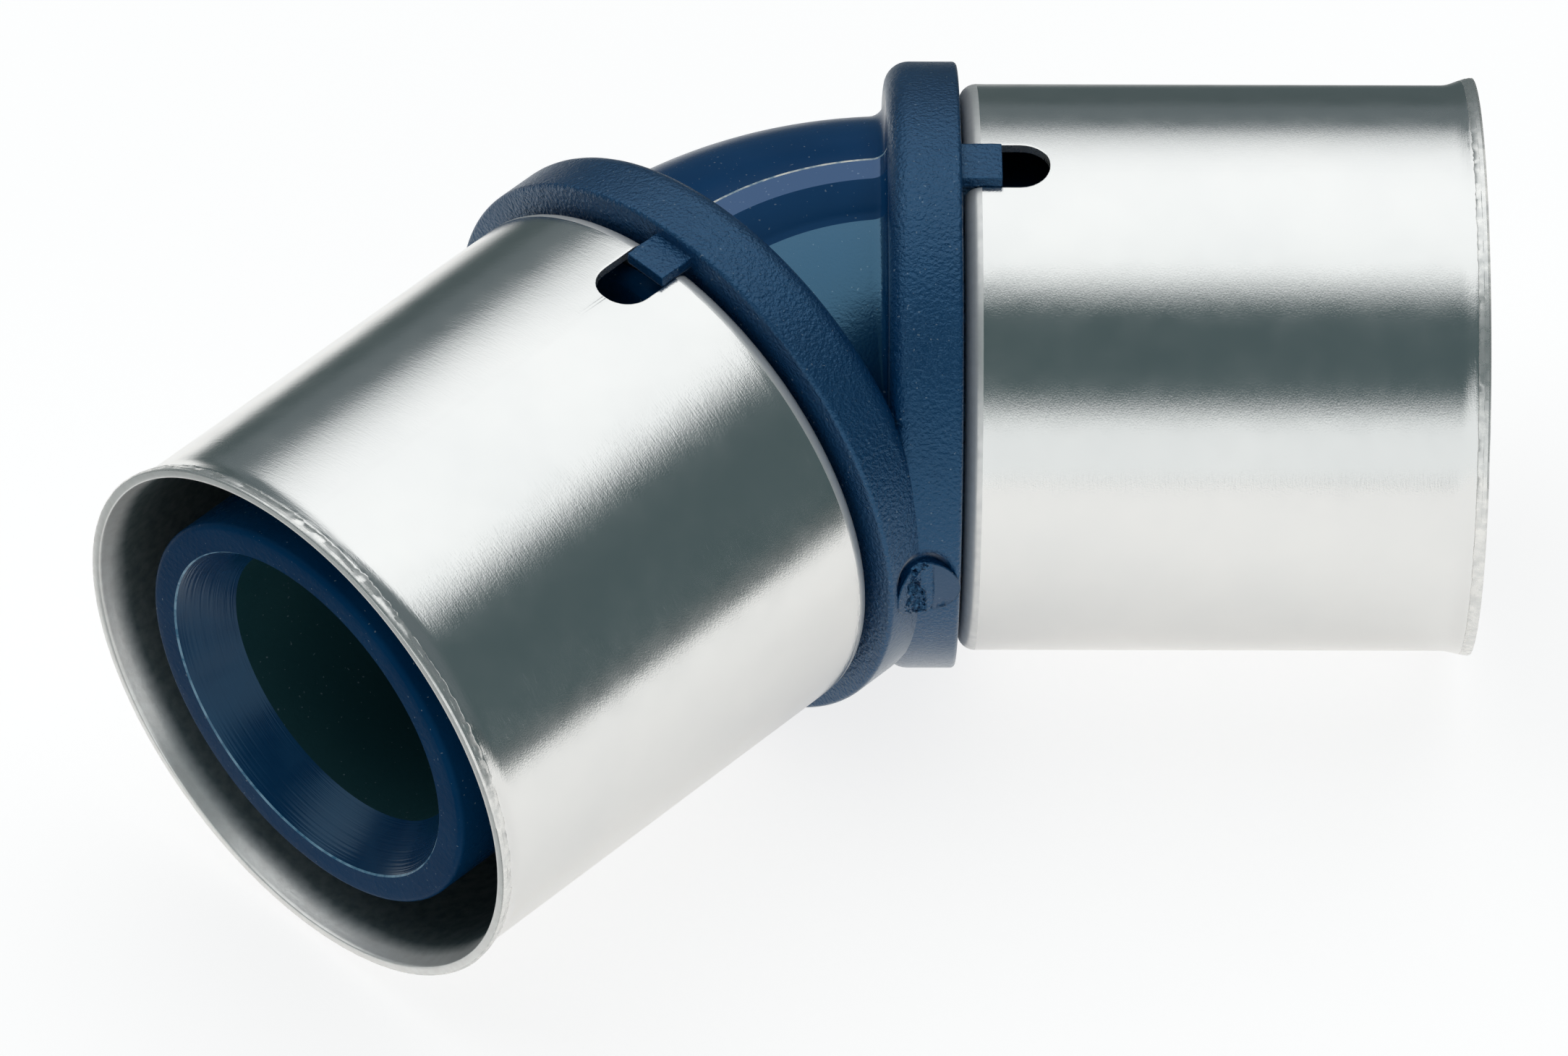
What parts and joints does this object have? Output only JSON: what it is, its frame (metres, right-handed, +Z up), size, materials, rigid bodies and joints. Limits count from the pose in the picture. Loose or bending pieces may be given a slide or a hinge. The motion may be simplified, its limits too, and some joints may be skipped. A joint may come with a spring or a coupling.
{
  "type": "press elbow",
  "caption": "Pipe elbow with a moulded plastic body, ribbed outer band, round flanges, and a flared steel press sleeve and sealed spigot on each leg.",
  "frame": {"origin": "where the axes of the two pipe legs cross, in the middle of the water way", "axes": "+X along leg A towards its mouth, +Z up, square to the plane of the two legs. Leg B points to -X -Y, 135 degrees from leg A"},
  "size_m": [0.1295, 0.0938, 0.0574],
  "materials": {
    "body_plastic": "dark blue moulded plastic, glossy on the bend, finely textured on the flanges",
    "sleeve_steel": "satin drawn stainless steel with a fine grain round the sleeve",
    "seal_rubber": "black rubber"
  },
  "bodies": {
    "root": {"elbow_body": "body_plastic", "press_sleeve_a": "sleeve_steel", "press_sleeve_b": "sleeve_steel", "seal_ring_a_outer": "seal_rubber", "seal_ring_a_inner": "seal_rubber", "seal_ring_b_outer": "seal_rubber", "seal_ring_b_inner": "seal_rubber"}
  },
  "joints": []
}
